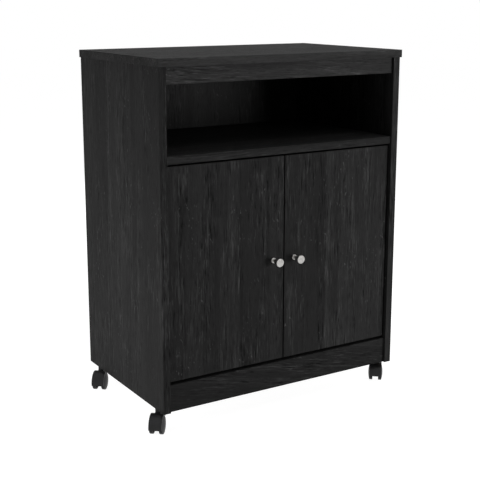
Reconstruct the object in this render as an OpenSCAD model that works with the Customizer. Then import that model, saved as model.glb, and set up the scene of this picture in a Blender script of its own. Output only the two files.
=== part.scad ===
// Kitchen cart: an open bay over a two-door cupboard, on four swivelling twin-wheel casters.
// The origin lies on the floor under the middle of the whole cart: X to the right, Y to the
// back, Z up. Hardware of the left side is drawn once and mirrored for the right side.

/* [Cabinet] */
// Width over the two side panels
body_w = 588; // [500:2:760]
// Depth of the side panels
body_d = 366; // [330:2:440]
// Height of the side panels
side_h = 696; // [670:2:800]
// Thickness of every laminated board
board_t = 16; // [15:0.5:19]
// How far the top stands out past the side panels, left, right and front
top_overhang = 3; // [1:0.5:12]
// Clear height of the open bay, from the fixed shelf up to the top
bay_h = 172; // [140:2:230]
// How far the fixed shelf lies behind the side panels' front edges
shelf_setback = 4; // [2:0.5:8]
// Height of the apron rail under the top
apron_h = 34; // [32:1:60]
// Height of the kick plate
kick_h = 57; // [50:1:90]
// How far the apron rail and the kick plate lie behind the side panels' front edges
rail_setback = 6; // [4:0.5:12]
// Thickness of the hardboard back
back_t = 3; // [2.5:0.5:5]
// Bare strip that the back leaves along the outer faces of the boards it is nailed to
back_margin = 3; // [1:0.5:6]

/* [Adjustable shelf] */
// Height of the shelf's top above the cupboard floor
shelf_rise = 225; // [180:5:270]
// How far the shelf lies behind the backs of the doors
inner_shelf_setback = 40; // [30:5:80]
// Gap at each end of the shelf and behind it
inner_shelf_gap = 1.5; // [1.5:0.25:3]
// Diameter of the shelf pins
shelf_pin_d = 5; // [4:0.5:6]
// Length of a shelf pin inside the side panel
shelf_pin_in = 8; // [6:1:10]
// Length of a shelf pin under the shelf
shelf_pin_out = 9; // [7:1:14]
// Diameter of the collar that stops a shelf pin at the panel
shelf_collar_d = 8; // [7:0.5:10]
// Thickness of the shelf pin's collar
shelf_collar_t = 1; // [0.6:0.1:1.2]
// Distance of the pins from the shelf's front and rear edges
shelf_pin_edge = 37; // [25:1:60]
// Height step between the rows of pin holes
pin_row_step = 32; // [20:1:40]
// Extra depth of each pin hole
pin_hole_extra = 1.5; // [0.5:0.5:3]

/* [Doors] */
// How far the doors lie behind the side panels' front edges
door_setback = 8; // [5:0.5:12]
// Gap between a door and its side panel
door_side_gap = 4; // [3.5:0.25:5]
// Gap between the two doors
door_mid_gap = 3; // [2:0.5:6]
// Gap between the doors and the fixed shelf
door_top_gap = 4.5; // [3:0.5:8]
// Gap between the doors and the kick plate
door_bottom_gap = 6.5; // [4:0.5:10]
// How far the doors open, in degrees
door_open = 100; // [90:1:105]

/* [Knobs] */
// Distance of the knobs from the doors' free edges
knob_inset = 25; // [18:1:60]
// How far the knobs stand out from the doors
knob_l = 26.5; // [22:0.5:34]
// Diameter of the knob head
knob_head_d = 18; // [15:0.5:26]
// Thickness of the knob head at its rim
knob_head_t = 5; // [3:0.5:7]
// Rounding of the knob head's edges
knob_round = 1.2; // [0.6:0.2:1.4]
// Diameter of the knob's neck
knob_neck_d = 7; // [6:0.5:10]
// Diameter of the knob's base flange
knob_base_d = 11.5; // [10.5:0.5:16]
// Thickness of the knob's base flange
knob_base_t = 2.5; // [2:0.5:5]
// Length of the knob's neck between its base flange and its cone
knob_neck_l = 1; // [0.5:0.5:8]
// Diameter of the knob screw
knob_screw_d = 4; // [3:0.5:5]
// Depth of the knob screw in the knob
knob_screw_in = 9; // [6:1:12]

/* [Hinges] */
// Distance of the hinge centres from the doors' top and bottom edges
hinge_inset = 80; // [60:5:100]
// Diameter of the hinge cup bored into the door
cup_d = 35; // [34:0.5:36]
// Depth of the hinge cup
cup_depth = 11.5; // [11.25:0.25:12]
// Wood left between the cup and the door's edge
cup_edge = 5; // [4:0.25:5.5]
// Wall of the cup
cup_wall = 0.8; // [0.6:0.1:1]
// Thickness of the cup's flange on the door's back
cup_flange_t = 1.2; // [1:0.1:1.5]
// Width of the flange round the cup
cup_flange_w = 1; // [0.8:0.1:2]
// Distance between the cup's two screws
cup_screw_pitch = 48; // [45:1:52]
// Offset of the cup's screws from its centre, away from the door's edge
cup_screw_shift = 6; // [4:0.5:8]
// Width of the flange's ears
cup_ear_w = 12; // [10:0.5:14]
// Distance of the hinge pin from the door's edge
pin_edge = 10.5; // [10:0.25:11]
// Distance of the hinge pin behind the door's face
pin_depth = 8; // [7.75:0.05:8.2]
// Diameter of the hinge pin
pin_d = 2.8; // [2.2:0.1:3]
// Diameter of the arm's knuckle round the pin
knuckle_d = 4.8; // [4.4:0.1:4.9]
// Thickness of the arm's steel strip
arm_t = 1.8; // [1.4:0.1:2]
// Width of the arm
arm_w = 12; // [8:0.5:13]
// Bend radius of the strip's centre line
arm_bend = 3; // [2:0.25:4]
// Clearance between the swinging door and the arm
arm_clear = 1; // [0.8:0.1:1.5]
// Length of the arm along the plate
arm_tail = 34; // [30:1:40]
// Thickness of the mounting plate
plate_t = 3; // [2.5:0.25:4]
// Margin of the plate round the arm
plate_margin = 2; // [1:0.5:4]
// Width of the plate's wings, front to back
plate_wing_w = 13; // [11:0.5:16]
// Distance between the plate's two screws
plate_screw_pitch = 32; // [30:1:38]
// Distance of the plate's and the arm's screws from the front of the plate
plate_screw_back = 19; // [16:1:22]
// Diameter of the screw that clamps the arm to its plate
clamp_screw_d = 5; // [4:0.5:5.5]

/* [Fasteners] */
// Diameter of the cam locks
cam_d = 15; // [12:0.5:16]
// Height of the cam locks
cam_h = 12; // [10.5:0.5:12.5]
// How far the cam locks lie below the surface
cam_sink = 0.3; // [0.1:0.1:0.5]
// Distance of the cam locks from the joint
cam_reach = 24; // [22:1:34]
// Diameter of a cam bolt's thread
bolt_thread_d = 5; // [4:0.5:6]
// Length of a cam bolt's thread
bolt_thread_l = 11; // [8:0.5:12]
// Diameter of a cam bolt's shank
bolt_shank_d = 6; // [5:0.5:7]
// Diameter of a cam bolt's neck
bolt_neck_d = 3.4; // [3:0.2:4]
// Diameter of a cam bolt's head
bolt_head_d = 6.6; // [6:0.2:7]
// Length of a cam bolt's head, and of its neck
bolt_head_l = 3; // [2:0.25:3.5]
// Diameter of the bores that the cam bolts pass through
bolt_bore_d = 8; // [7.5:0.5:9]
// Width of the cross slot in a cam lock
cam_slot_w = 1.6; // [1:0.1:2.2]
// Length of the cross slot in a cam lock
cam_slot_l = 9; // [7:0.5:10]
// Depth of the cross slot in a cam lock
cam_slot_t = 2; // [1:0.25:2.5]
// Distance of the cam locks from the front and rear edges
cam_edge = 50; // [40:2:70]
// Height of the cam bolt above the lower edge of a rail
rail_cam_rise = 11; // [10:0.5:13]
// Height of the dowel above the lower edge of a rail
rail_dowel_rise = 25; // [23:0.5:27]
// Diameter of the dowels
dowel_d = 8; // [6:0.5:8]
// Length of a dowel in the face of a board
dowel_face_l = 10; // [8:0.5:12]
// Length of a dowel in the end of a board
dowel_end_l = 20; // [16:1:24]
// Diameter of the small wood screws
screw_d = 3.5; // [3:0.25:4]
// Length of the small wood screws in the board
screw_l = 11; // [8:0.5:12]
// Diameter of the small screws' heads
screw_head_d = 7; // [6:0.25:8]
// Height of the small screws' heads
screw_head_t = 2; // [1.5:0.25:2.5]
// Diameter of the nails in the back
nail_d = 1.6; // [1.2:0.1:2]
// Length of the nails
nail_l = 18; // [14:1:22]
// Diameter of the nails' heads
nail_head_d = 5; // [4:0.25:6]
// Height of the nails' heads
nail_head_t = 0.8; // [0.5:0.1:1]
// Distance of the outermost nails from the back's top and bottom edges
nail_edge = 35; // [30:1:60]
// Number of nails into each side panel
side_nails = 5; // [3:1:8]
// Number of nails into each board between the side panels
cross_nails = 3; // [2:1:4]
// Distance of the outermost cross nails from the side panels
cross_nail_edge = 90; // [70:5:150]

/* [Casters] */
// Height of the side panels' lower edges above the floor
caster_h = 52; // [50:0.5:70]
// Distance of the caster stems from the front and rear edges
caster_inset = 41; // [36:1:60]
// Angle of the casters at rest, in degrees
swivel_rest = -40; // [-180:5:180]
// Distance between the stem and the wheel axis
trail = 11; // [10:0.5:14]
// Diameter of the wheels
wheel_d = 38; // [36:0.5:40]
// Width of a wheel's tread
tread_w = 7.5; // [7:0.5:12]
// Distance between the two wheels of a caster
wheel_spread = 13; // [11:0.5:14]
// Rounding of the tread's edges
tread_round = 1.2; // [0.8:0.1:2]
// Thickness of the wheel's rim under the tread
rim_t = 3; // [2:0.5:4]
// How far the wheel's outer face bulges
dome_rise = 2.5; // [1:0.25:4]
// Thickness of the wheel's disc beside the ribs
disc_t = 2; // [1.5:0.25:3]
// Diameter of the wheel's hub
hub_d = 11; // [9:0.5:12]
// Number of ribs in the wheel
rib_count = 6; // [4:1:8]
// Thickness of the wheel's ribs
rib_t = 1.2; // [0.8:0.1:2]
// How far the ribs lie below the wheel's inner face
rib_back = 1; // [0.5:0.25:3]
// Diameter of the axle
axle_d = 5; // [4:0.5:6]
// Depth of the axle in each wheel
axle_in = 8; // [6.5:0.5:9]
// Clearance between the tread and the hood
hood_clear = 1.4; // [1:0.1:2]
// Wall of the hood over the treads
hood_wall = 3; // [2:0.1:3.4]
// Rounding of the hood's shoulders
hood_shoulder = 0.8; // [0.5:0.1:3]
// Clearance between the hood's web and the wheels
web_clear = 0.5; // [0.4:0.1:0.8]
// Angle at which the hood starts behind the stem, from straight down
hood_start = 135; // [125:1:150]
// Angle at which the hood ends in front, from straight down
hood_end = 80; // [60:1:95]
// Angle by which the hood's web ends inside its rim
web_lag = 2; // [1:1:10]
// Diameter of the web's boss round the axle
web_boss_d = 13; // [11:0.5:16]
// Diameter of the hood's neck round the stem
neck_d = 13; // [12:0.5:15]
// Diameter of the stem
stem_d = 8; // [6:0.5:8]
// Diameter of the stem's collar
collar_d = 10; // [9.5:0.5:12]
// Thickness of the stem's collar between the hood's neck and the socket
collar_t = 1; // [0.6:0.1:2]
// Length of the stem above the lower edge of the side panel
stem_l = 36; // [30:1:45]
// Depth of the stem in the hood
stem_in = 18; // [14:1:19]
// Depth of the groove that holds the stem in its socket
groove_t = 0.6; // [0.4:0.1:0.8]
// Width of the groove in the stem
groove_w = 3; // [2:0.25:4]
// Distance of the groove from the stem's tip
groove_back = 6; // [4.5:0.5:10]
// Chamfer of the stem's tip and of the axle's ends
pin_chamfer = 0.8; // [0.4:0.1:1]
// Outer diameter of the socket
socket_d = 10; // [9.6:0.2:11]
// Diameter of the socket's flange
flange_d = 14; // [12:0.5:15]
// Thickness of the socket's flange
flange_t = 1.2; // [0.8:0.1:1.5]

/* [Fits] */
// Clearance on the radius of a piece that turns on a pin
run_fit = 0.05; // [0.02:0.01:0.1]
// Clearance on the radius of a piece pressed or screwed home
seat_fit = 0.02; // [0.01:0.01:0.05]
// Gap between thrust faces and at the ends of blind bores
end_gap = 0.2; // [0.1:0.05:0.3]

/* [Hidden] */
$fn = 64;

// Colours
laminate = "#3b3a38";
hardboard = "#5a4632";
nickel = "#b9b7b2";
zinc = "#8f9296";
beech = "#c9a877";
nylon = "#202224";

// Planes of the cabinet
front_y = -body_d / 2;
rear_y = body_d / 2;
inner_x = body_w / 2 - board_t;
inner_w = 2 * inner_x;
panel_mid_x = body_w / 2 - board_t / 2;
side_z = caster_h;
side_top_z = side_z + side_h;
top_z = side_top_z + board_t;
shelf_z = side_top_z - bay_h - board_t;
floor_z = side_z + kick_h - board_t;
rail_y = front_y + rail_setback;
rail_back_y = rail_y + board_t;
apron_z = side_top_z - apron_h;
back_z = floor_z + back_margin;
back_top_z = top_z - back_margin;

// Doors, in the frame of the left door
door_y = front_y + door_setback;
door_back_y = door_y + board_t;
door_w = (inner_w - door_mid_gap) / 2 - door_side_gap;
door_z = side_z + kick_h + door_bottom_gap;
door_h = shelf_z - door_top_gap - door_z;
door_x = -inner_x + door_side_gap;
knob_x = door_x + door_w - knob_inset;
knob_z = door_z + door_h / 2;
hinge_zs = [door_z + hinge_inset, door_z + door_h - hinge_inset];

// Hinges: the pin is the origin, x runs away from the side panel and y to the back
pin_x = door_x + pin_edge;
pin_y = door_y + pin_depth;
cup_x = cup_edge + cup_d / 2 - pin_edge;
cup_y = board_t - cup_depth - pin_depth;
cup_r_in = cup_d / 2 - cup_wall;
pin_l = 2 * sqrt(pow(cup_d / 2, 2) - pow(cup_x + pin_d / 2, 2));
door_sweep = norm([pin_edge, max(pin_depth, board_t - pin_depth)]);
rim_reach = -pin_edge * cos(door_open)
    + (board_t - pin_depth + cup_flange_t) * sin(door_open);
arm_x = rim_reach + arm_clear + arm_t / 2;
arm_y = door_sweep + arm_clear + arm_t / 2;
wall_x = -door_side_gap - pin_edge;
tail_x = wall_x + plate_t + arm_t / 2;
tail_y = arm_y + arm_bend;
plate_y = tail_y;
plate_l = arm_tail + plate_margin;
screw_y = plate_y + plate_screw_back;

// Adjustable shelf
inner_shelf_z = floor_z + shelf_rise;
inner_shelf_y = door_back_y + inner_shelf_setback;
inner_shelf_d = rear_y - inner_shelf_gap - inner_shelf_y;
shelf_pin_z = inner_shelf_z - shelf_pin_d / 2;
shelf_pin_ys = [inner_shelf_y + shelf_pin_edge, inner_shelf_y + inner_shelf_d - shelf_pin_edge];

// Joints between the boards at the left side panel, each as a place and a turn:
// x runs from the joint into the board's end, and the cam enters from below
cam_ys = [front_y + cam_edge, rear_y - cam_edge];
rail_mid_y = rail_y + board_t / 2;
rail_turn = [90, 0, 0];
top_turn = [0, 90, 180];
shelf_cams = [for (y = cam_ys) [[-inner_x, y, shelf_z + board_t / 2], [0, 0, 0]]];
floor_cams = [for (y = cam_ys) [[-inner_x, y, floor_z + board_t / 2], [0, 0, 0]]];
apron_cams = [[[-inner_x, rail_mid_y, apron_z + rail_cam_rise], rail_turn]];
kick_cams = [[[-inner_x, rail_mid_y, side_z + rail_cam_rise], rail_turn]];
top_cams = [for (y = cam_ys) [[-panel_mid_x, y, side_top_z], top_turn]];
shelf_dowels = [[[-inner_x, 0, shelf_z + board_t / 2], [0, 0, 0]]];
floor_dowels = [[[-inner_x, 0, floor_z + board_t / 2], [0, 0, 0]]];
apron_dowels = [[[-inner_x, rail_mid_y, apron_z + rail_dowel_rise], rail_turn]];
kick_dowels = [[[-inner_x, rail_mid_y, side_z + rail_dowel_rise], rail_turn]];
top_dowels = [[[-panel_mid_x, 0, side_top_z], top_turn]];
side_cams = concat(shelf_cams, floor_cams, apron_cams, kick_cams);
side_dowels = concat(shelf_dowels, floor_dowels, apron_dowels, kick_dowels);

// Nails through the back, as [x, z]
side_nail_zs = [for (i = [0:side_nails - 1])
    back_z + nail_edge + i * (back_top_z - back_z - 2 * nail_edge) / (side_nails - 1)];
cross_nail_xs = [for (i = [0:cross_nails - 1])
    (inner_w - 2 * cross_nail_edge) * (i / (cross_nails - 1) - 1 / 2)];
cross_nail_zs = [floor_z + board_t / 2, shelf_z + board_t / 2, side_top_z + board_t / 2];
nails = concat(
    [for (z = side_nail_zs, s = [-1, 1]) [s * panel_mid_x, z]],
    [for (z = cross_nail_zs, x = cross_nail_xs) [x, z]]);

// Casters: the stem is the origin, the axle runs along x, and the wheels trail towards -y
stem_y = body_d / 2 - caster_inset;
wheel_r = wheel_d / 2;
wheel_in_x = wheel_spread / 2;
hood_r = wheel_r + hood_clear + hood_wall;
hood_w = wheel_spread + 2 * tread_w;
web_t = wheel_spread - 2 * web_clear;
hood_sweep = 360 - hood_start - hood_end;
hood_top_z = wheel_r + hood_r;
flange_z = side_z - flange_t;
collar_top_z = flange_z - end_gap;
neck_z = collar_top_z - collar_t;
neck_low_z = wheel_d + web_clear;
stem_z = neck_z - stem_in;
stem_top_z = side_z + stem_l;
groove_z = stem_top_z - groove_back - groove_w;
dome_r = (pow(wheel_r - tread_round, 2) + pow(dome_rise, 2)) / (2 * dome_rise);
recess_t = tread_w - disc_t;

// Where the cabinet's centre stands, so that the middle of the cart's outline on the floor,
// with its knobs and its trailing casters, is the origin
cart_x = -trail * sin(swivel_rest);
cart_y = (knob_l - door_setback - back_t) / 2;

// Facets in each bend of a hinge arm, and how far a cutting tool runs past a face
bend_steps = 8;
over = 1;

// Placing helpers
module both_sides() {
    children();
    mirror([1, 0, 0]) children();
}
module at_sites(sites) {
    for (s = sites) translate(s[0]) rotate(s[1]) children();
}
module at_hinge(i) {
    translate([pin_x, pin_y, hinge_zs[i]]) children();
}
module at_caster(sx, sy) {
    translate([sx * panel_mid_x, sy * stem_y, 0]) rotate(swivel_rest) children();
}
module at_axle() {
    translate([0, -trail, wheel_r]) rotate([0, 90, 0]) children();
}
module along_x() {
    rotate([0, 90, 0]) children();
}
module along_y() {
    rotate([-90, 0, 0]) children();
}

// Fastener shapes, drawn from the joint plane, and the bores for them
module cam_bolt() {
    shank_l = cam_reach - 3 * bolt_head_l / 2;
    along_x() {
        translate([0, 0, -bolt_thread_l]) cylinder(d = bolt_thread_d, h = bolt_thread_l);
        cylinder(d = bolt_shank_d, h = shank_l);
        translate([0, 0, shank_l]) cylinder(d = bolt_neck_d, h = bolt_head_l);
        translate([0, 0, shank_l + bolt_head_l]) cylinder(d = bolt_head_d, h = bolt_head_l);
    }
}
module cam_lock() {
    cavity_d = bolt_head_d + 2 * end_gap;
    translate([cam_reach, 0, -board_t / 2 + cam_sink]) difference() {
        cylinder(d = cam_d, h = cam_h);
        translate([-cam_d, 0, board_t / 2 - cam_sink]) along_x()
            cylinder(d = cavity_d, h = cam_d + bolt_head_l / 2 + end_gap);
        for (turn = [0, 90]) rotate(turn) translate([0, 0, cam_slot_t / 2 - over / 2])
            cube([cam_slot_l, cam_slot_w, cam_slot_t + over], center = true);
    }
}
module bolt_hole() {
    translate([-bolt_thread_l - end_gap, 0, 0]) along_x()
        cylinder(r = bolt_thread_d / 2 + seat_fit, h = bolt_thread_l + end_gap + over);
}
module cam_holes() {
    translate([-over, 0, 0]) along_x() cylinder(d = bolt_bore_d, h = cam_reach + over);
    translate([cam_reach, 0, -board_t / 2 - over])
        cylinder(r = cam_d / 2 + seat_fit, h = cam_h + cam_sink + end_gap + over);
}
module dowel() {
    translate([-dowel_face_l, 0, 0]) along_x()
        cylinder(d = dowel_d, h = dowel_face_l + dowel_end_l);
}
module dowel_hole() {
    translate([-dowel_face_l - end_gap, 0, 0]) along_x()
        cylinder(r = dowel_d / 2 + seat_fit, h = dowel_face_l + dowel_end_l + 2 * end_gap);
}
module nail() {
    along_y() {
        translate([0, 0, nail_head_t - nail_l]) cylinder(d = nail_d, h = nail_l - nail_head_t);
        cylinder(d = nail_head_d, h = nail_head_t);
    }
}
module nail_holes() {
    for (n = nails) translate([n[0], rear_y + back_t + over, n[1]]) along_y()
        translate([0, 0, -nail_l - over]) cylinder(r = nail_d / 2 + seat_fit, h = nail_l + over);
}
module pan_screw(d, l, head_d, head_t) {
    translate([0, 0, -l]) cylinder(d = d, h = l);
    cylinder(d = head_d, h = head_t);
}

// Boards
module board(size) {
    translate([-size[0] / 2, 0, 0]) cube(size);
}
module side_panel() {
    color(laminate) difference() {
        translate([-body_w / 2, front_y, side_z]) cube([board_t, body_d, side_h]);
        at_sites(side_cams) bolt_hole();
        at_sites(top_cams) cam_holes();
        at_sites(concat(side_dowels, top_dowels)) dowel_hole();
        nail_holes();
        for (i = [0, 1], s = [-1, 1]) at_hinge(i)
            translate([wall_x, screw_y, s * plate_screw_pitch / 2]) along_x()
                translate([0, 0, -screw_l - end_gap])
                    cylinder(r = screw_d / 2 + seat_fit, h = screw_l + end_gap + over);
        for (y = shelf_pin_ys, row = [-1, 0, 1])
            translate([-inner_x, y, shelf_pin_z + row * pin_row_step]) along_x()
                translate([0, 0, -shelf_pin_in - pin_hole_extra])
                    cylinder(r = shelf_pin_d / 2 + seat_fit,
                        h = shelf_pin_in + pin_hole_extra + over);
        for (y = [-stem_y, stem_y]) translate([-panel_mid_x, y, side_z - over])
            cylinder(r = socket_d / 2 + seat_fit, h = over + stem_l + 2 * end_gap);
    }
}
module left_side_panel() {
    side_panel();
}
module right_side_panel() {
    mirror([1, 0, 0]) side_panel();
}
module top_panel() {
    color(laminate) difference() {
        translate([0, front_y - top_overhang, side_top_z])
            board([body_w + 2 * top_overhang, body_d + top_overhang, board_t]);
        both_sides() at_sites(top_cams) bolt_hole();
        both_sides() at_sites(top_dowels) dowel_hole();
        nail_holes();
    }
}
module cross_board(y, d, z, h, cams, dowels) {
    color(laminate) difference() {
        translate([0, y, z]) board([inner_w, d, h]);
        both_sides() at_sites(cams) cam_holes();
        both_sides() at_sites(dowels) dowel_hole();
        nail_holes();
    }
}
module apron_rail() {
    cross_board(rail_y, board_t, apron_z, apron_h, apron_cams, apron_dowels);
}
module kick_plate() {
    cross_board(rail_y, board_t, side_z, kick_h, kick_cams, kick_dowels);
}
module fixed_shelf() {
    shelf_y = front_y + shelf_setback;
    cross_board(shelf_y, rear_y - shelf_y, shelf_z, board_t, shelf_cams, shelf_dowels);
}
module bottom_panel() {
    cross_board(rail_back_y, rear_y - rail_back_y, floor_z, board_t, floor_cams, floor_dowels);
}
module back_panel() {
    color(hardboard) difference() {
        translate([0, rear_y, back_z])
            board([body_w - 2 * back_margin, back_t, back_top_z - back_z]);
        nail_holes();
    }
}
module inner_shelf() {
    color(laminate) translate([0, inner_shelf_y, inner_shelf_z])
        board([inner_w - 2 * inner_shelf_gap, inner_shelf_d, board_t]);
}

// Loose fasteners, one node for each kind
module cam_bolts() {
    color(zinc) both_sides() at_sites(concat(side_cams, top_cams)) cam_bolt();
}
module cam_locks() {
    color(zinc) both_sides() at_sites(concat(side_cams, top_cams)) cam_lock();
}
module dowels() {
    color(beech) both_sides() at_sites(concat(side_dowels, top_dowels)) dowel();
}
module back_nails() {
    color(zinc) for (n = nails) translate([n[0], rear_y + back_t, n[1]]) nail();
}
module shelf_pins() {
    color(zinc) both_sides() for (y = shelf_pin_ys)
        translate([-inner_x, y, shelf_pin_z]) along_x() {
            translate([0, 0, -shelf_pin_in])
                cylinder(d = shelf_pin_d, h = shelf_pin_in + shelf_pin_out);
            cylinder(d = shelf_collar_d, h = shelf_collar_t);
        }
}

// Doors and knobs
module knob_section() {
    neck_r = knob_neck_d / 2;
    head_r = knob_head_d / 2;
    base_r = knob_base_d / 2;
    square([neck_r, knob_l - knob_head_t]);
    square([base_r, knob_base_t - knob_round]);
    translate([0, knob_base_t - knob_round]) square([base_r - knob_round, knob_round]);
    translate([base_r - knob_round, knob_base_t - knob_round]) circle(knob_round);
    polygon([
        [0, knob_base_t + knob_neck_l],
        [neck_r, knob_base_t + knob_neck_l],
        [head_r - knob_round, knob_l - knob_head_t],
        [0, knob_l - knob_head_t]
    ]);
    translate([0, knob_l - knob_head_t]) square([head_r - knob_round, knob_head_t]);
    translate([0, knob_l - knob_head_t + knob_round])
        square([head_r, knob_head_t - 2 * knob_round]);
    for (y = [knob_l - knob_head_t + knob_round, knob_l - knob_round])
        translate([head_r - knob_round, y]) circle(knob_round);
}
module knob() {
    color(nickel) translate([knob_x, door_y, knob_z]) rotate([90, 0, 0]) difference() {
        rotate_extrude() knob_section();
        translate([0, 0, -over])
            cylinder(r = knob_screw_d / 2 + seat_fit, h = knob_screw_in + end_gap + over);
    }
}
module knob_screw() {
    color(zinc) translate([knob_x, door_back_y, knob_z]) along_y()
        pan_screw(knob_screw_d, board_t + knob_screw_in, screw_head_d, screw_head_t);
}
module door() {
    color(laminate) difference() {
        translate([door_x, door_y, door_z]) cube([door_w, board_t, door_h]);
        translate([knob_x, door_y - over, knob_z]) along_y()
            cylinder(r = knob_screw_d / 2 + seat_fit, h = board_t + 2 * over);
        for (i = [0, 1]) at_hinge(i) translate([cup_x, cup_y, 0]) along_y() {
            cylinder(r = cup_d / 2 + seat_fit, h = cup_depth + over);
            for (s = [-1, 1]) translate([cup_screw_shift, s * cup_screw_pitch / 2, 0])
                translate([0, 0, cup_depth - screw_l - end_gap])
                    cylinder(r = screw_d / 2 + seat_fit, h = screw_l + end_gap + over);
        }
    }
}

// Concealed hinges
module cup_flange() {
    circle(d = cup_d + 2 * cup_flange_w);
    translate([cup_screw_shift, 0]) {
        square([cup_ear_w, cup_screw_pitch], center = true);
        for (s = [-1, 1]) translate([0, s * cup_screw_pitch / 2]) circle(d = cup_ear_w);
    }
}
module hinge_cup(i) {
    color(nickel) at_hinge(i) difference() {
        translate([cup_x, cup_y, 0]) along_y() difference() {
            union() {
                cylinder(d = cup_d, h = cup_depth);
                translate([0, 0, cup_depth]) linear_extrude(cup_flange_t) cup_flange();
            }
            translate([0, 0, cup_wall]) cylinder(r = cup_r_in, h = cup_depth + over);
            for (s = [-1, 1]) translate([cup_screw_shift, s * cup_screw_pitch / 2, cup_depth - over])
                cylinder(r = screw_d / 2 + seat_fit, h = cup_flange_t + 2 * over);
        }
        cylinder(r = pin_d / 2 + seat_fit, h = pin_l + 2 * seat_fit, center = true);
    }
}
module hinge_pins() {
    color(zinc) for (i = [0, 1]) at_hinge(i) cylinder(d = pin_d, h = pin_l, center = true);
}
module cup_screws() {
    color(zinc) for (i = [0, 1], s = [-1, 1]) at_hinge(i)
        translate([cup_x + cup_screw_shift, board_t - pin_depth + cup_flange_t,
            s * cup_screw_pitch / 2]) along_y()
            pan_screw(screw_d, screw_l + cup_flange_t, screw_head_d, screw_head_t);
}
function arc(centre, r, from, to) = [for (i = [0:bend_steps])
    let (a = from + (to - from) * i / bend_steps) centre + r * [cos(a), sin(a)]];
function reversed(list) = [for (i = [len(list) - 1:-1:0]) list[i]];
function arm_side(s) = let (half = s * arm_t / 2) concat(
    [[0, -half]],
    arc([arm_x - arm_bend, arm_bend], arm_bend + half, -90, 0),
    arc([arm_x - arm_bend, arm_y - arm_bend], arm_bend + half, 0, 90),
    arc([tail_x + arm_bend, tail_y], arm_bend - half, 270, 180),
    [[tail_x + half, tail_y + arm_tail]]);
module arm_outline() {
    circle(d = knuckle_d);
    polygon(concat(arm_side(1), reversed(arm_side(-1))));
}
module hinge_arm(i) {
    color(nickel) at_hinge(i) difference() {
        linear_extrude(arm_w, center = true) arm_outline();
        cylinder(r = pin_d / 2 + run_fit, h = arm_w + 2 * over, center = true);
        translate([tail_x, screw_y, 0]) along_x()
            cylinder(r = clamp_screw_d / 2 + seat_fit, h = arm_t + 2 * over, center = true);
    }
}
module hinge_plate(i) {
    color(nickel) at_hinge(i) translate([wall_x, 0, 0]) difference() {
        along_x() linear_extrude(plate_t) {
            translate([-arm_w / 2 - plate_margin, plate_y])
                square([arm_w + 2 * plate_margin, plate_l]);
            translate([-plate_screw_pitch / 2, screw_y - plate_wing_w / 2])
                square([plate_screw_pitch, plate_wing_w]);
            for (s = [-1, 1]) translate([s * plate_screw_pitch / 2, screw_y])
                circle(d = plate_wing_w);
        }
        for (s = [-1, 1]) translate([-over, screw_y, s * plate_screw_pitch / 2]) along_x()
            cylinder(r = screw_d / 2 + seat_fit, h = plate_t + 2 * over);
        translate([-over, screw_y, 0]) along_x()
            cylinder(r = clamp_screw_d / 2 + seat_fit, h = plate_t + 2 * over);
    }
}
module hinge_plate_screws() {
    color(zinc) both_sides() for (i = [0, 1], s = [-1, 1]) at_hinge(i)
        translate([wall_x + plate_t, screw_y, s * plate_screw_pitch / 2]) along_x()
            pan_screw(screw_d, screw_l + plate_t, screw_head_d, screw_head_t);
}
module hinge_clamp_screws() {
    color(zinc) both_sides() for (i = [0, 1]) at_hinge(i)
        translate([wall_x + plate_t + arm_t, screw_y, 0]) along_x()
            pan_screw(clamp_screw_d, plate_t + arm_t, screw_head_d, screw_head_t);
}

module left_door() {
    door();
}
module left_knob() {
    knob();
}
module left_knob_screw() {
    knob_screw();
}
module left_upper_hinge_cup() {
    hinge_cup(1);
}
module left_lower_hinge_cup() {
    hinge_cup(0);
}
module left_hinge_pins() {
    hinge_pins();
}
module left_cup_screws() {
    cup_screws();
}
module left_upper_hinge_arm() {
    hinge_arm(1);
}
module left_lower_hinge_arm() {
    hinge_arm(0);
}
module left_upper_hinge_plate() {
    hinge_plate(1);
}
module left_lower_hinge_plate() {
    hinge_plate(0);
}
module right_door() {
    mirror([1, 0, 0]) door();
}
module right_knob() {
    mirror([1, 0, 0]) knob();
}
module right_knob_screw() {
    mirror([1, 0, 0]) knob_screw();
}
module right_upper_hinge_cup() {
    mirror([1, 0, 0]) hinge_cup(1);
}
module right_lower_hinge_cup() {
    mirror([1, 0, 0]) hinge_cup(0);
}
module right_hinge_pins() {
    mirror([1, 0, 0]) hinge_pins();
}
module right_cup_screws() {
    mirror([1, 0, 0]) cup_screws();
}
module right_upper_hinge_arm() {
    mirror([1, 0, 0]) hinge_arm(1);
}
module right_lower_hinge_arm() {
    mirror([1, 0, 0]) hinge_arm(0);
}
module right_upper_hinge_plate() {
    mirror([1, 0, 0]) hinge_plate(1);
}
module right_lower_hinge_plate() {
    mirror([1, 0, 0]) hinge_plate(0);
}

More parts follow.
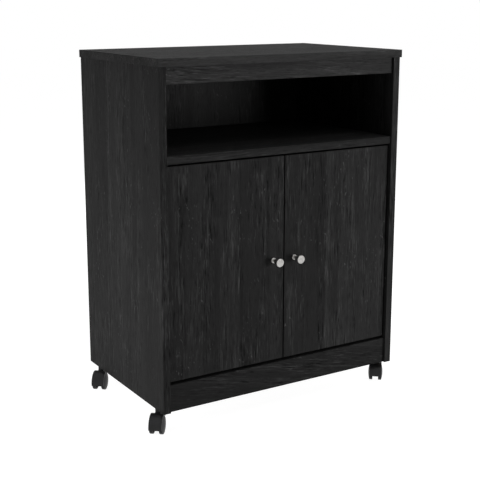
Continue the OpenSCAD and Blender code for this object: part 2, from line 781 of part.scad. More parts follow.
// Casters
module caster_sockets() {
    bore_r = stem_d / 2 + run_fit;
    color(nylon) for (sx = [-1, 1], sy = [-1, 1]) at_caster(sx, sy) difference() {
        union() {
            translate([0, 0, flange_z]) cylinder(d = flange_d, h = flange_t);
            translate([0, 0, side_z]) cylinder(d = socket_d, h = stem_l + end_gap);
        }
        difference() {
            translate([0, 0, flange_z - over])
                cylinder(r = bore_r, h = flange_t + stem_l + end_gap + 2 * over);
            translate([0, 0, groove_z + end_gap]) difference() {
                cylinder(r = bore_r + over, h = groove_w - 2 * end_gap);
                translate([0, 0, -over])
                    cylinder(r = bore_r - groove_t, h = groove_w + 2 * over);
            }
        }
    }
}
module stem_section() {
    r = stem_d / 2;
    square_from(r, stem_z, neck_z);
    square_from(collar_d / 2, neck_z, collar_top_z);
    square_from(r, collar_top_z, groove_z);
    square_from(r - groove_t, groove_z, groove_z + groove_w);
    square_from(r, groove_z + groove_w, stem_top_z - pin_chamfer);
    polygon([
        [0, stem_top_z - pin_chamfer],
        [r, stem_top_z - pin_chamfer],
        [r - pin_chamfer, stem_top_z],
        [0, stem_top_z]
    ]);
}
module square_from(r, z_low, z_high) {
    translate([0, z_low]) square([r, z_high - z_low]);
}
module caster_stem() {
    color(zinc) rotate_extrude() stem_section();
}
module hood_section() {
    flat_w = hood_w - 2 * hood_shoulder;
    difference() {
        union() {
            translate([0, -flat_w / 2]) square([hood_r, flat_w]);
            translate([0, -hood_w / 2]) square([hood_r - hood_shoulder, hood_w]);
            for (s = [-1, 1]) translate([hood_r - hood_shoulder, s * flat_w / 2])
                circle(hood_shoulder);
        }
        translate([-over, -hood_w / 2 - over])
            square([wheel_r + hood_clear + over, hood_w + 2 * over]);
    }
}
module web_outline() {
    web_r = hood_r - hood_wall / 2;
    reach = 2 * hood_r;
    front = [-sin(hood_end + web_lag), -cos(hood_end + web_lag)];
    back = [sin(hood_start + web_lag), -cos(hood_start + web_lag)];
    translate([-trail, wheel_r]) {
        circle(d = web_boss_d);
        intersection() {
            circle(web_r);
            polygon([[0, 0], reach * back, [0, reach], [-reach, reach], [-reach, 0], reach * front]);
        }
    }
    translate([-trail, stem_z - hood_wall])
        square([trail + stem_d / 2 + hood_wall / 2, hood_top_z - stem_z + hood_wall]);
}
module caster_hood() {
    color(nylon) difference() {
        union() {
            at_axle() rotate(hood_start) rotate_extrude(angle = hood_sweep) hood_section();
            rotate([90, 0, 90]) linear_extrude(web_t, center = true) web_outline();
            translate([0, 0, neck_low_z]) cylinder(d = neck_d, h = neck_z - neck_low_z);
        }
        translate([0, 0, stem_z - end_gap])
            cylinder(r = stem_d / 2 + seat_fit, h = stem_in + end_gap + over);
        at_axle() cylinder(r = axle_d / 2 + seat_fit, h = web_t + 2 * over, center = true);
    }
}
module caster_axle() {
    half_l = wheel_in_x + axle_in;
    color(zinc) at_axle() rotate_extrude() polygon([
        [0, -half_l],
        [axle_d / 2 - pin_chamfer, -half_l],
        [axle_d / 2, -half_l + pin_chamfer],
        [axle_d / 2, half_l - pin_chamfer],
        [axle_d / 2 - pin_chamfer, half_l],
        [0, half_l]
    ]);
}
module wheel_section() {
    square([wheel_r - tread_round, tread_w]);
    translate([0, tread_round]) square([wheel_r, tread_w - 2 * tread_round]);
    for (y = [tread_round, tread_w - tread_round])
        translate([wheel_r - tread_round, y]) circle(tread_round);
    intersection() {
        translate([0, tread_w + dome_rise - dome_r]) circle(dome_r, $fn = 360);
        translate([0, tread_w / 2]) square([wheel_r - tread_round, tread_w / 2 + dome_rise]);
    }
}
module caster_wheel() {
    color(nylon) {
        difference() {
            rotate_extrude() difference() {
                wheel_section();
                translate([hub_d / 2, -over])
                    square([wheel_r - rim_t - hub_d / 2, recess_t + over]);
            }
            translate([0, 0, -over])
                cylinder(r = axle_d / 2 + run_fit, h = axle_in + end_gap + over);
        }
        for (i = [0:rib_count - 1]) rotate(i * 360 / rib_count)
            translate([hub_d / 2 - rib_t / 2, -rib_t / 2, rib_back])
                cube([wheel_r - rim_t / 2 - hub_d / 2, rib_t, recess_t - rib_back + disc_t / 2]);
    }
}
module left_wheel() {
    at_axle() mirror([0, 0, 1]) translate([0, 0, wheel_in_x]) caster_wheel();
}
module right_wheel() {
    at_axle() translate([0, 0, wheel_in_x]) caster_wheel();
}

module front_left_caster_stem() {
    at_caster(-1, -1) caster_stem();
}
module front_left_caster_hood() {
    at_caster(-1, -1) caster_hood();
}
module front_left_caster_axle() {
    at_caster(-1, -1) caster_axle();
}
module front_left_caster_left_wheel() {
    at_caster(-1, -1) left_wheel();
}
module front_left_caster_right_wheel() {
    at_caster(-1, -1) right_wheel();
}
module front_right_caster_stem() {
    at_caster(1, -1) caster_stem();
}
module front_right_caster_hood() {
    at_caster(1, -1) caster_hood();
}
module front_right_caster_axle() {
    at_caster(1, -1) caster_axle();
}
module front_right_caster_left_wheel() {
    at_caster(1, -1) left_wheel();
}
module front_right_caster_right_wheel() {
    at_caster(1, -1) right_wheel();
}
module rear_left_caster_stem() {
    at_caster(-1, 1) caster_stem();
}
module rear_left_caster_hood() {
    at_caster(-1, 1) caster_hood();
}
module rear_left_caster_axle() {
    at_caster(-1, 1) caster_axle();
}
module rear_left_caster_left_wheel() {
    at_caster(-1, 1) left_wheel();
}
module rear_left_caster_right_wheel() {
    at_caster(-1, 1) right_wheel();
}
module rear_right_caster_stem() {
    at_caster(1, 1) caster_stem();
}
module rear_right_caster_hood() {
    at_caster(1, 1) caster_hood();
}
module rear_right_caster_axle() {
    at_caster(1, 1) caster_axle();
}
module rear_right_caster_left_wheel() {
    at_caster(1, 1) left_wheel();
}
module rear_right_caster_right_wheel() {
    at_caster(1, 1) right_wheel();
}

translate([cart_x, cart_y, 0]) {
    top_panel();
    left_side_panel();
    right_side_panel();
    apron_rail();
    fixed_shelf();
    bottom_panel();
    kick_plate();
    back_panel();
    inner_shelf();
    shelf_pins();
    cam_bolts();
    cam_locks();
    dowels();
    back_nails();
    left_door();
    left_knob();
    left_knob_screw();
    left_upper_hinge_cup();
    left_lower_hinge_cup();
    left_hinge_pins();
    left_cup_screws();
    left_upper_hinge_arm();
    left_lower_hinge_arm();
    left_upper_hinge_plate();
    left_lower_hinge_plate();
    right_door();
    right_knob();
    right_knob_screw();
    right_upper_hinge_cup();
    right_lower_hinge_cup();
    right_hinge_pins();
    right_cup_screws();
    right_upper_hinge_arm();
    right_lower_hinge_arm();
    right_upper_hinge_plate();
    right_lower_hinge_plate();
    hinge_plate_screws();
    hinge_clamp_screws();
    caster_sockets();
    front_left_caster_stem();
    front_left_caster_hood();
    front_left_caster_axle();
    front_left_caster_left_wheel();
    front_left_caster_right_wheel();
    front_right_caster_stem();
    front_right_caster_hood();
    front_right_caster_axle();
    front_right_caster_left_wheel();
    front_right_caster_right_wheel();
    rear_left_caster_stem();
    rear_left_caster_hood();
    rear_left_caster_axle();
    rear_left_caster_left_wheel();
    rear_left_caster_right_wheel();
    rear_right_caster_stem();
    rear_right_caster_hood();
    rear_right_caster_axle();
    rear_right_caster_left_wheel();
    rear_right_caster_right_wheel();
}
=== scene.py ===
import math

import bpy
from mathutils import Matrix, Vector

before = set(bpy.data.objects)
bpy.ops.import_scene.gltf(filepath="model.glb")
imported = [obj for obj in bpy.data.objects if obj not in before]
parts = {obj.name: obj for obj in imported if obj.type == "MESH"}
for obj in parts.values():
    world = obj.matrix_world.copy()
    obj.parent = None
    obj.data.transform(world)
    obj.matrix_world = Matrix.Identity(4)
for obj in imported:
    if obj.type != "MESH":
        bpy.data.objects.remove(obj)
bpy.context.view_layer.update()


# Camera and picture
# The cart is seen from its front left, from a little above the worktop and
# looking down. A slight lens shift sets its height in the picture.

camera_place = (-1.1650, -1.8828, 0.8809)
camera_down = 12.317
camera_right = 31.785
lens_length = 76.125
film_width = 36
lens_shift = -0.05

camera = bpy.data.objects.new("camera", bpy.data.cameras.new("camera"))
camera.location = camera_place
camera.rotation_euler = (math.radians(90 - camera_down), 0, math.radians(-camera_right))
camera.data.lens = lens_length
camera.data.sensor_width = film_width
camera.data.shift_y = lens_shift
bpy.context.scene.collection.objects.link(camera)
bpy.context.scene.camera = camera
bpy.context.scene.view_settings.view_transform = "Standard"


# Side panels
# Two uprights of 16 mm particle board. Both faces are pressed with a black oak
# print and the front edges are taped; the sawn bottom edges stay raw.

oak_ground = (0.0100, 0.0100, 0.0100, 1)
oak_fibre = (0.056, 0.056, 0.056, 1)
# The colour of rubbed corners, lighter than the print: rubbed wear and a painted highlight on the
# edges.
oak_rubbed_highlight = (0.05, 0.049, 0.048, 1)
chip_dark = (0.16, 0.105, 0.062, 1)
chip_light = (0.42, 0.31, 0.20, 1)
chip_size = 0.0022
tape_round = 0.0007
rub_fade, rub_patches, rub_breakup, rub_highlight_strength = (0.02, 0.30), 90.0, 0.7, 0.35
board_bump = 0.00012
side_fade = (0.6, 0.9)
down = (0, 0, -1)
forward = (0, -1, 0)
backward = (0, 1, 0)

# Each mark of the print: how many there are per metre across the grain and along
# it, and the levels of its pattern between which it shows.
bend_rate, bend_middle, bend_width = (9, 3.2), (0.5, 0.5, 0.5), (0.008, 0.008, 0.0)
plank_rate, cloud_rate = (22, 0), (28, 2.2)
zone_rate, zone_fade, zone_least, zone_rise = (30, 4.5), (0.40, 0.60), 0.20, 0.80
dash_rate, dash_breakup, dash_fade, gap_fade = (350, 32), 0.6, (0.54, 0.70), (0.46, 0.30)
hair_rate, hair_breakup, hair_fade = (500, 13), 0.55, (0.52, 0.74)
ring_rate, pale_ring_fade, dark_ring_fade = (30, 1.1), (0.02, 0.13), (0.44, 0.50)
pore_rate, pore_fade = (900, 60), (0.56, 0.70)
fleck_rate, fleck_fade, fleck_leans = (260, 60), (0.67, 0.80), (0.42, -0.36)
strewn_rate, strewn_fade = (20, 14), (0.50, 0.68)
pale_rings, dark_rings, ring_turn = 4.0, 2.6, 0.5

# How much each mark lightens the print, and how much it darkens it.
plank_share, cloud_share, tone_middle = 0.24, 0.36, 0.30
dash_light, hair_light, tone_light, ring_light, pore_light = 0.39, 0.31, 0.55, 0.12, 0.10
plain_shade, tone_shade, pore_shade, ring_shade, gap_shade = 1.20, 0.8, 0.30, 0.22, 1.05
print_gloss, pore_gloss, print_relief = 0.50, 0.12, 0.4


def put(tree, kind, feeds=None, **settings):
    """Adds a shader node with its settings, and what feeds each of its sockets."""
    node = tree.nodes.new("ShaderNode" + kind)
    for name, value in settings.items():
        setattr(node, name, value)
    for socket, source in (feeds or {}).items():
        if isinstance(source, bpy.types.NodeSocket):
            tree.links.new(source, node.inputs[socket])
        else:
            node.inputs[socket].default_value = source
    return node


def sums(tree, operation, first, second, clamp=False):
    """One step of arithmetic on values or sockets."""
    return put(tree, "Math", {0: first, 1: second}, operation=operation, use_clamp=clamp).outputs[0]


def plus(tree, first, second, clamp=False):
    """The sum of two values."""
    return sums(tree, "ADD", first, second, clamp)


def minus(tree, first, second, clamp=False):
    """The first value less the second."""
    return sums(tree, "SUBTRACT", first, second, clamp)


def times(tree, first, second):
    """The product of two values."""
    return sums(tree, "MULTIPLY", first, second)


def between(tree, fade, value):
    """0 before the first level of fade, 1 past its second, and a soft step between them."""
    return put(tree, "MapRange", {"Value": value, "From Min": fade[0], "From Max": fade[1]},
               interpolation_type="SMOOTHSTEP").outputs[0]


def vectors(tree, operation, first, second):
    """One step of arithmetic on positions."""
    return put(tree, "VectorMath", {0: first, 1: second}, operation=operation).outputs[0]


def scaled(tree, colour, amount):
    """A colour made brighter or darker."""
    return put(tree, "VectorMath", {0: colour, "Scale": amount}, operation="SCALE").outputs[0]


def facing(tree, normal, direction):
    """How far a surface faces a direction: 1 straight towards it and 0 side on."""
    return put(tree, "VectorMath", {0: normal, 1: direction},
               operation="DOT_PRODUCT").outputs["Value"]


def stretch(tree, position, rate):
    """Position times the two numbers of rate, across the grain and along it, which is Z."""
    across, along = rate
    return vectors(tree, "MULTIPLY", position, (across, across, along))


def streaks(tree, position, rate, detail, breakup=0.5):
    """A pattern drawn out along the grain, with its finer detail as strong as breakup."""
    return put(tree, "TexNoise", {"Vector": stretch(tree, position, rate), "Scale": 1.0,
                                  "Detail": detail, "Roughness": breakup}).outputs


def clouds(tree, position, scale, detail):
    """An even pattern without a grain."""
    return put(tree, "TexNoise", {"Vector": position, "Scale": scale, "Detail": detail}).outputs[0]


def blended(tree, amount, first, second):
    """A colour between first and second."""
    return put(tree, "Mix", {0: amount, 6: first, 7: second}, data_type="RGBA").outputs[2]


def effect(name, inputs, outputs):
    """A shader node group with its named sockets, and its input and output nodes."""
    tree = bpy.data.node_groups.new(name, "ShaderNodeTree")
    for socket, kind, value in inputs:
        made = tree.interface.new_socket(socket, in_out="INPUT", socket_type="NodeSocket" + kind)
        if value is not None:
            made.default_value = value
    for socket, kind in outputs:
        tree.interface.new_socket(socket, in_out="OUTPUT", socket_type="NodeSocket" + kind)
    source = tree.nodes.new("NodeGroupInput").outputs
    drain = tree.nodes.new("NodeGroupOutput").inputs
    return tree, source, drain


def print_paper():
    """The oak print: planks, fibres, rings, pores and pale flecks, along Z of Position."""
    tree, source, drain = effect(
        "oak_print",
        [("Position", "Vector", None), ("Seed", "Float", 0.0),
         ("Ground", "Color", oak_ground), ("Fibre", "Color", oak_fibre),
         ("Planks", "Float", 1.0), ("Fibres", "Float", 1.0), ("Rings", "Float", 1.0),
         ("Flecks", "Float", 1.0)],
        [("Color", "Color"), ("Gloss", "Float"), ("Height", "Float")],
    )
    shifted = vectors(tree, "ADD", source["Position"], source["Seed"])
    bend = streaks(tree, shifted, bend_rate, detail=2.0)["Color"]
    bend = vectors(tree, "MULTIPLY", vectors(tree, "SUBTRACT", bend, bend_middle), bend_width)
    wavy = vectors(tree, "ADD", shifted, bend)

    plank = put(tree, "TexVoronoi", {"Vector": stretch(tree, shifted, plank_rate), "Scale": 1.0},
                voronoi_dimensions="3D").outputs["Color"]
    plank = put(tree, "SeparateColor", {"Color": plank}).outputs[0]
    cloud = streaks(tree, wavy, cloud_rate, detail=2.0)[0]
    tone = plus(tree, times(tree, plank, plank_share), times(tree, cloud, cloud_share))
    tone = times(tree, minus(tree, tone, tone_middle), source["Planks"])

    zone = between(tree, zone_fade, streaks(tree, wavy, zone_rate, detail=2.0)[0])
    zone = plus(tree, times(tree, zone, zone_rise), zone_least)
    zone = times(tree, zone, source["Fibres"])
    dash = streaks(tree, wavy, dash_rate, detail=2.0, breakup=dash_breakup)[0]
    hair = streaks(tree, wavy, hair_rate, detail=2.0, breakup=hair_breakup)[0]
    fibre = plus(tree, times(tree, between(tree, dash_fade, dash), dash_light),
                 times(tree, between(tree, hair_fade, hair), hair_light))
    fibre = times(tree, fibre, zone)
    gap = times(tree, between(tree, gap_fade, dash), zone)

    rings = streaks(tree, wavy, ring_rate, detail=1.0)[0]
    pale_ring = sums(tree, "PINGPONG", times(tree, rings, pale_rings), ring_turn)
    pale_ring = minus(tree, 1.0, between(tree, pale_ring_fade, pale_ring))
    pale_ring = times(tree, times(tree, pale_ring, zone), source["Rings"])
    dark_ring = sums(tree, "PINGPONG", times(tree, rings, dark_rings), ring_turn)
    dark_ring = times(tree, between(tree, dark_ring_fade, dark_ring), source["Rings"])

    pore = between(tree, pore_fade, streaks(tree, wavy, pore_rate, detail=1.0)[0])
    fleck = 0.0
    for lean in fleck_leans:
        slant = put(tree, "VectorRotate", {"Vector": shifted, "Angle": lean, "Axis": (1, 1, 0)},
                    rotation_type="AXIS_ANGLE").outputs[0]
        tick = streaks(tree, slant, fleck_rate, detail=1.0)[0]
        fleck = plus(tree, fleck, between(tree, fleck_fade, tick))
    strewn = streaks(tree, shifted, strewn_rate, detail=1.0)[0]
    fleck = times(tree, fleck, between(tree, strewn_fade, strewn))
    fleck = times(tree, fleck, source["Flecks"])

    light = plus(tree, plus(tree, fibre, fleck), times(tree, tone, tone_light))
    light = plus(tree, light, times(tree, pale_ring, ring_light))
    light = minus(tree, light, times(tree, pore, pore_light), clamp=True)
    shade = minus(tree, plus(tree, plain_shade, times(tree, tone, tone_shade)),
                  times(tree, pore, pore_shade))
    shade = minus(tree, shade, times(tree, dark_ring, ring_shade))
    shade = minus(tree, shade, times(tree, gap, gap_shade))
    ground = scaled(tree, source["Ground"], shade)
    tree.links.new(blended(tree, light, ground, source["Fibre"]), drain["Color"])
    tree.links.new(plus(tree, print_gloss, times(tree, pore, pore_gloss)), drain["Gloss"])
    tree.links.new(minus(tree, times(tree, light, print_relief), pore), drain["Height"])
    return tree


def raw_edge():
    """Sawn particle board: pressed chips of mixed browns."""
    tree, source, drain = effect(
        "sawn_chips",
        [("Position", "Vector", None), ("Dark", "Color", chip_dark),
         ("Light", "Color", chip_light), ("Chip Size", "Float", chip_size)],
        [("Color", "Color"), ("Height", "Float")],
    )
    per_metre = sums(tree, "DIVIDE", 1.0, source["Chip Size"])
    chips = put(tree, "TexVoronoi", {"Vector": source["Position"], "Scale": per_metre})
    tone = put(tree, "SeparateColor", {"Color": chips.outputs["Color"]}).outputs[0]
    tree.links.new(blended(tree, tone, source["Dark"], source["Light"]), drain["Color"])
    tree.links.new(minus(tree, tone, chips.outputs["Distance"]), drain["Height"])
    return tree


def rubbed_highlight_edge():
    """Corners that handling has rubbed and that catch the light: a softened normal, and a mask of
    the corner that the boards lighten as rubbed wear and as a painted highlight.
    """
    tree, source, drain = effect(
        "rubbed_highlight_corner",
        [("Position", "Vector", None), ("Radius", "Float", tape_round),
         ("Breakup", "Float", rub_breakup)],
        [("Normal", "Vector"), ("Worn And Highlit", "Float")],
    )
    soft = put(tree, "Bevel", {"Radius": source["Radius"]}, samples=6).outputs[0]
    flat = put(tree, "NewGeometry").outputs["True Normal"]
    corner = between(tree, rub_fade, minus(tree, 1.0, facing(tree, soft, flat)))
    patches = clouds(tree, source["Position"], rub_patches, detail=3.0)
    kept = minus(tree, 1.0, times(tree, patches, source["Breakup"]))
    tree.links.new(soft, drain["Normal"])
    tree.links.new(times(tree, corner, kept), drain["Worn And Highlit"])
    return tree


oak_print = print_paper()
sawn_chips = raw_edge()
rubbed_highlight_corner = rubbed_highlight_edge()


def grouped(tree, group, feeds):
    """One of the shared effects, placed in a material with its own values."""
    return put(tree, "Group", feeds, node_tree=group).outputs


def finish_start(name):
    """A new material: its tree, its main shader's inputs and its coordinates."""
    material = bpy.data.materials.new(name)
    material.use_nodes = True
    tree = material.node_tree
    shader = tree.nodes["Principled BSDF"].inputs
    return material, tree, shader, put(tree, "TexCoord").outputs


def roughened(tree, shader, height, depth, strength, normal=None):
    """Relief of a given depth and strength, over the plain surface or over normal."""
    feeds = {"Height": height, "Distance": depth, "Strength": strength}
    if normal is not None:
        feeds["Normal"] = normal
    tree.links.new(put(tree, "Bump", feeds).outputs[0], shader["Normal"])


def printed_board(name, grain, seed, tone=1.0, planks=1.0, fibres=1.0, flecks=1.0,
                  sheen=0.04, lean=0.0, painted_front_light=1.0, raw=None):
    """Black oak print with its grain along X or Z, and along X tilted by lean. Tone is its
    brightness, above 1 a painted light for the light that falls on the board, and planks,
    fibres and flecks are the strengths of its marks. Its front edge is brightened by a factor
    of its own, also painted light, and faces towards raw are left sawn."""
    material, tree, shader, place = finish_start(name)
    # Painted light: a tone above 1 makes the whole print brighter for the light that falls on this
    # board.
    ground = [tone * c for c in oak_ground[:3]] + [1]
    pale = [tone * c for c in oak_fibre[:3]] + [1]
    run = place["Object"]
    if grain == "X":
        axes = put(tree, "SeparateXYZ", {0: run}).outputs
        run = put(tree, "CombineXYZ", {0: axes[1], 1: axes[2], 2: axes[0]}).outputs[0]
        run = put(tree, "VectorRotate", {"Vector": run, "Angle": lean},
                  rotation_type="X_AXIS").outputs[0]
    oak = grouped(tree, oak_print, {"Position": run, "Seed": seed, "Ground": ground,
                                    "Fibre": pale, "Planks": planks, "Fibres": fibres,
                                    "Flecks": flecks})
    corner = grouped(tree, rubbed_highlight_corner, {"Position": run, "Radius": tape_round,
                                           "Breakup": rub_breakup})
    colour = oak["Color"]
    # Painted light: the faces towards the front, the taped front edge, are made brighter than the
    # rest.
    if painted_front_light != 1.0:
        taped = between(tree, side_fade, facing(tree, place["Normal"], forward))
        colour = scaled(tree, colour, plus(tree, 1.0, times(tree, taped, painted_front_light - 1.0)))
    # Rubbed wear and painted highlight: the board's corners are lightened towards the rubbed colour.
    colour = blended(tree, times(tree, corner["Worn And Highlit"], rub_highlight_strength), colour, oak_rubbed_highlight)
    height = oak["Height"]
    if raw is not None:
        sawn = between(tree, side_fade, facing(tree, place["Normal"], raw))
        chips = grouped(tree, sawn_chips, {"Position": place["Object"]})
        colour = blended(tree, sawn, colour, chips["Color"])
        height = plus(tree, height, times(tree, chips["Height"], sawn))
    tree.links.new(colour, shader["Base Color"])
    tree.links.new(oak["Gloss"], shader["Roughness"])
    shader["Specular IOR Level"].default_value = sheen
    roughened(tree, shader, height, board_bump, strength=0.5, normal=corner["Normal"])
    return material


def finished(material, *names):
    """Gives CAD pieces their finish."""
    for name in names:
        slots = parts[name].data.materials
        slots.clear()
        slots.append(material)


# Painted light: the left board's print is made a little brighter and its front edge brighter still,
# and the right board's print a little more than the left.
left_board = printed_board("black_oak_left", "Z", seed=0.0, tone=1.08, planks=0.65, fibres=0.95,
                           flecks=0.9, sheen=0.018, painted_front_light=1.26, raw=down)
right_board = printed_board("black_oak_right", "Z", seed=5.2, tone=1.22, raw=down)
finished(left_board, "left_side_panel")
finished(right_board, "right_side_panel")


# Shelves and bottom
# The same board with the print from side to side and its rear edge left raw. The
# fixed shelf and the bottom are held by cams, and the inner shelf lies on four pins.

level_board = printed_board("black_oak_level", "X", seed=3.1, raw=backward)
finished(level_board, "bottom_panel", "fixed_shelf", "inner_shelf")


# Top
# One board over the side panels, standing a few millimetres proud of them at
# the sides and the front, with all four edges taped.

# Painted light: the top's print is made more than twice as bright as the plain board, for the light
# that its top and front edge catch.
top_board = printed_board("black_oak_top", "X", seed=7.7, tone=2.3, planks=0.6, fibres=0.7,
                          flecks=0.3, sheen=0.003)
finished(top_board, "top_panel")


# Apron and kick plate
# Two narrow rails between the side panels, above the open bay and below the
# doors, set back from the front edges. The kick plate's lower edge stays raw.

# Painted light: the apron's print is made half again as bright, for the light on the upper front.
apron_board = printed_board("black_oak_apron", "X", seed=11.3, tone=1.48, flecks=0.6,
                            lean=-0.06)
kick_board = printed_board("black_oak_kick", "X", seed=14.9, flecks=0.6, lean=-0.2, raw=down)
finished(apron_board, "apron_rail")
finished(kick_board, "kick_plate")


# Back panel
# A 3 mm hardboard sheet nailed over the back edges. It shows the oak print
# inside the cart and its bare brown pressed fibre behind.

fibre_dark = (0.085, 0.050, 0.028, 1)
fibre_light = (0.150, 0.094, 0.056, 1)
# Painted light: the oak print inside the back panel is made brighter than on the boards.
hardboard_lit_ground = (0.0145, 0.0145, 0.0145, 1)
hardboard_lit_fibre = (0.070, 0.070, 0.070, 1)
mat_scale, mat_share = 900.0, 0.6
stain_scale, stain_share = 7.0, 0.4
mottle_fade = (0.35, 0.65)
inner_fade = (0.4, 0.6)
hardboard_gloss, hardboard_sheen, hardboard_bump = 0.62, 0.05, 0.0002

hardboard, tree, shader, place = finish_start("printed_hardboard")
oak = grouped(tree, oak_print, {"Position": place["Object"], "Seed": 17.9, "Planks": 0.35,
                                "Fibres": 0.6, "Rings": 0.5, "Flecks": 0.5,
                                "Ground": hardboard_lit_ground, "Fibre": hardboard_lit_fibre})
mats = clouds(tree, place["Object"], mat_scale, detail=4.0)
stains = clouds(tree, place["Object"], stain_scale, detail=3.0)
mottle = plus(tree, times(tree, mats, mat_share), times(tree, stains, stain_share))
bare = blended(tree, between(tree, mottle_fade, mottle), fibre_dark, fibre_light)
inward = between(tree, inner_fade, facing(tree, place["Normal"], forward))
tree.links.new(blended(tree, inward, bare, oak["Color"]), shader["Base Color"])
shader["Roughness"].default_value = hardboard_gloss
shader["Specular IOR Level"].default_value = hardboard_sheen
roughened(tree, shader, mats, hardboard_bump, strength=0.35)
finished(hardboard, "back_panel")


# Doors
# Two inset doors of the same board, taped on all four edges, with the print
# upright. They hang between the side panels on concealed hinges.

# Painted light: the doors' print is made a little brighter than the plain board.
door_board = printed_board("black_oak_doors", "Z", seed=23.6, tone=1.12, planks=0.8, flecks=0.7)
finished(door_board, "left_door", "right_door")


# Knobs
# Turned metal knobs in brushed nickel, each drawn to its door by one machine
# screw from inside.

nickel_light = (0.465, 0.456, 0.442, 1)
nickel_dark = (0.352, 0.345, 0.334, 1)
zinc_light = (0.60, 0.61, 0.63, 1)
zinc_dark = (0.42, 0.43, 0.45, 1)
mark_run, mark_gloss = (1.0, 0.06), 0.16
haze_scale, haze_fade, haze_gloss = 120.0, (0.3, 0.7), 0.08


def worked_metal():
    """Fine tool marks and a faint haze on plated metal."""
    tree, source, drain = effect(
        "plated_metal",
        [("Position", "Vector", None), ("Light", "Color", nickel_light),
         ("Dark", "Color", nickel_dark), ("Marks", "Float", 2400.0), ("Polish", "Float", 0.20)],
        [("Color", "Color"), ("Gloss", "Float"), ("Height", "Float")],
    )
    drawn = stretch(tree, source["Position"], mark_run)
    marks = clouds(tree, drawn, source["Marks"], detail=2.0)
    haze = clouds(tree, source["Position"], haze_scale, detail=3.0)
    tree.links.new(blended(tree, between(tree, haze_fade, haze), source["Dark"], source["Light"]),
                   drain["Color"])
    gloss = plus(tree, source["Polish"], times(tree, marks, mark_gloss))
    tree.links.new(plus(tree, gloss, times(tree, haze, haze_gloss)), drain["Gloss"])
    tree.links.new(marks, drain["Height"])
    return tree


plated_metal = worked_metal()


def plated(name, light, dark, marks, polish, depth):
    """A plated metal finish: tool marks per metre, base roughness and depth of the marks."""
    material, tree, shader, place = finish_start(name)
    metal = grouped(tree, plated_metal, {"Position": place["Object"], "Light": light,
                                         "Dark": dark, "Marks": marks, "Polish": polish})
    tree.links.new(metal["Color"], shader["Base Color"])
    tree.links.new(metal["Gloss"], shader["Roughness"])
    shader["Metallic"].default_value = 1.0
    roughened(tree, shader, metal["Height"], depth, strength=0.3)
    return material


nickel = plated("brushed_nickel", nickel_light, nickel_dark, marks=2400.0, polish=0.20,
                depth=0.00003)
zinc = plated("zinc_plate", zinc_light, zinc_dark, marks=900.0, polish=0.34, depth=0.00004)
finished(nickel, "left_knob", "right_knob")
finished(zinc, "left_knob_screw", "right_knob_screw")


# Concealed hinges
# Four pressed steel hinges, nickel plated: a cup let into the door, an arm that
# hooks into it round a pin, and a plate screwed to the side panel. Pins and screws
# are zinc plated.

hinge_plate = plated("hinge_nickel", nickel_light, nickel_dark, marks=700.0, polish=0.24,
                     depth=0.00003)
for side in ("left", "right"):
    for level in ("upper", "lower"):
        finished(hinge_plate, f"{side}_{level}_hinge_cup", f"{side}_{level}_hinge_arm",
                 f"{side}_{level}_hinge_plate")
    finished(zinc, f"{side}_hinge_pins", f"{side}_cup_screws")
finished(zinc, "hinge_plate_screws", "hinge_clamp_screws")


# Joining hardware
# Zinc cams and bolts that draw the boards together, beech dowels that locate
# them, zinc plated shelf pins, and the nails that hold the back.

beech_light = (0.56, 0.38, 0.23, 1)
beech_dark = (0.40, 0.25, 0.14, 1)
beech_rate, beech_fade = (260, 40), (0.35, 0.65)
beech_gloss, beech_bump = 0.6, 0.0001

beech, tree, shader, place = finish_start("beech")
wood = streaks(tree, place["Object"], beech_rate, detail=3.0)[0]
tree.links.new(blended(tree, between(tree, beech_fade, wood), beech_dark, beech_light),
               shader["Base Color"])
shader["Roughness"].default_value = beech_gloss
roughened(tree, shader, wood, beech_bump, strength=0.3)
finished(beech, "dowels")
finished(zinc, "cam_bolts", "cam_locks", "shelf_pins", "back_nails")


# Casters
# Four twin wheel casters moulded in black nylon. Each has a hood on a steel
# stem that turns in a socket under the side panel, and two wheels on one axle.

nylon_black = (0.0062, 0.0062, 0.0066, 1)
nylon_grey = (0.0108, 0.0108, 0.0115, 1)
grain_scale, nylon_bump = 1900.0, 0.00003
flow_scale, flow_fade, flow_gloss = 55.0, (0.35, 0.70), 0.16


def moulded_skin():
    """The fine grain of a spark eroded mould, with pale clouds where the nylon flowed."""
    tree, source, drain = effect(
        "moulded_nylon",
        [("Position", "Vector", None), ("Dark", "Color", nylon_black),
         ("Light", "Color", nylon_grey), ("Grain", "Float", grain_scale), ("Polish", "Float", 0.34)],
        [("Color", "Color"), ("Gloss", "Float"), ("Height", "Float")],
    )
    grain = clouds(tree, source["Position"], source["Grain"], detail=2.0)
    flow = clouds(tree, source["Position"], flow_scale, detail=3.0)
    tree.links.new(blended(tree, between(tree, flow_fade, flow), source["Dark"], source["Light"]),
                   drain["Color"])
    tree.links.new(plus(tree, source["Polish"], times(tree, flow, flow_gloss)), drain["Gloss"])
    tree.links.new(grain, drain["Height"])
    return tree


moulded_nylon = moulded_skin()


def moulded(name, polish, sheen):
    """Moulded black nylon with its base roughness, polish, and its sheen."""
    material, tree, shader, place = finish_start(name)
    skin = grouped(tree, moulded_nylon, {"Position": place["Object"], "Dark": nylon_black,
                                         "Light": nylon_grey, "Polish": polish})
    tree.links.new(skin["Color"], shader["Base Color"])
    tree.links.new(skin["Gloss"], shader["Roughness"])
    shader["Specular IOR Level"].default_value = sheen
    roughened(tree, shader, skin["Height"], nylon_bump, strength=0.4)
    return material


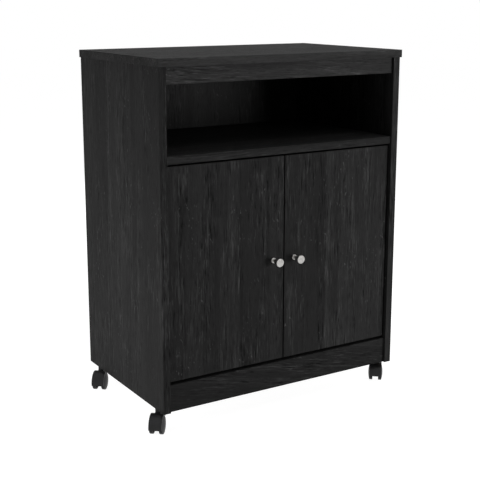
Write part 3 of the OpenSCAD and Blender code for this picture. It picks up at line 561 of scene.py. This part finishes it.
hood_nylon = moulded("hood_nylon", polish=0.34, sheen=0.22)
wheel_nylon = moulded("wheel_nylon", polish=0.40, sheen=0.16)
for corner in ("front_left", "front_right", "rear_left", "rear_right"):
    finished(hood_nylon, f"{corner}_caster_hood")
    finished(wheel_nylon, f"{corner}_caster_left_wheel", f"{corner}_caster_right_wheel")
    finished(zinc, f"{corner}_caster_stem", f"{corner}_caster_axle")
finished(hood_nylon, "caster_sockets")


# Floor and light
# A white studio: a pale floor and surroundings that the camera sees as plain white,
# save a faint painted shade on the floor round the cart; a low broad softbox at the front
# right, one overhead, a small fill on each side, and one at the back for the views from behind.

floor_reach = 9
floor_matte = (0.72, 0.72, 0.72, 1)
floor_thin = (0.26, 0.26, 0.26, 1)
white = (1, 1, 1, 1)
floor_glow, painted_shade_dip, painted_shade_fade = 0.985, 0.045, (1.1, 0.55)
room_seen, room_light = 0.95, 0.05


def seen_white(tree):
    """1 for what the camera sees directly, in metal or through glass, and 0 for the light."""
    rays = put(tree, "LightPath").outputs
    return plus(tree, plus(tree, rays["Is Camera Ray"], rays["Is Glossy Ray"]),
                rays["Is Transmission Ray"], clamp=True)


floor_mesh = bpy.data.meshes.new("floor")
corners = [(x * floor_reach, y * floor_reach, 0) for x, y in ((-1, -1), (1, -1), (1, 1), (-1, 1))]
floor_mesh.from_pydata(corners, [], [(0, 1, 2, 3)])
floor = bpy.data.objects.new("floor", floor_mesh)
bpy.context.scene.collection.objects.link(floor)
paper = bpy.data.materials.new("white_paper")
paper.use_nodes = True
tree = paper.node_tree
tree.nodes.clear()
matte = put(tree, "BsdfDiffuse", {"Color": floor_matte}).outputs[0]
thin = put(tree, "BsdfDiffuse", {"Color": floor_thin}).outputs[0]
reach = put(tree, "VectorMath", {0: put(tree, "TexCoord").outputs["Object"]},
            operation="LENGTH").outputs["Value"]
# Painted shade: the floor's glow is lowered within about a metre of the cart's middle, so that the
# cart's shadow shows there.
painted_shade = times(tree, between(tree, painted_shade_fade, reach), painted_shade_dip)
glow = put(tree, "Emission", {"Color": white, "Strength": minus(tree, floor_glow, painted_shade)}).outputs[0]
bright = put(tree, "AddShader", {0: thin, 1: glow}).outputs[0]
shown = put(tree, "MixShader", {0: seen_white(tree), 1: matte, 2: bright}).outputs[0]
tree.links.new(shown, put(tree, "OutputMaterial").inputs["Surface"])
floor_mesh.materials.append(paper)

world = bpy.data.worlds.new("studio")
world.use_nodes = True
bpy.context.scene.world = world
tree = world.node_tree
tree.nodes.clear()
level = plus(tree, times(tree, seen_white(tree), room_seen), room_light)
sky = put(tree, "Background", {"Color": white, "Strength": level}).outputs[0]
tree.links.new(sky, put(tree, "OutputWorld").inputs["Surface"])


def soft_light(name, place, target, size, power, mirrored=False):
    """A square softbox that faces target, and shows in shiny surfaces if mirrored."""
    lamp = bpy.data.lights.new(name, "AREA")
    lamp.size = size
    lamp.energy = power
    made = bpy.data.objects.new(name, lamp)
    made.location = place
    made.rotation_euler = (Vector(target) - Vector(place)).to_track_quat("-Z", "Y").to_euler()
    made.visible_camera = False
    made.visible_glossy = mirrored
    bpy.context.scene.collection.objects.link(made)


soft_light("key_light", place=(1.34, -2.68, 0.50), target=(0, 0, 0.45), size=0.95, power=66)
soft_light("top_light", place=(0.2, -1.2, 2.6), target=(0, -0.1, 0.6), size=1.8, power=18.5,
           mirrored=True)
soft_light("left_fill", place=(-1.02, -0.06, 0.24), target=(-0.3, -0.06, 0.24), size=0.5, power=6.4)
soft_light("right_fill", place=(1.10, 0.05, 0.40), target=(0.3, 0.05, 0.40), size=0.6, power=6.0)
soft_light("back_light", place=(0.9, 2.4, 1.1), target=(0, 0.1, 0.35), size=1.2, power=30)
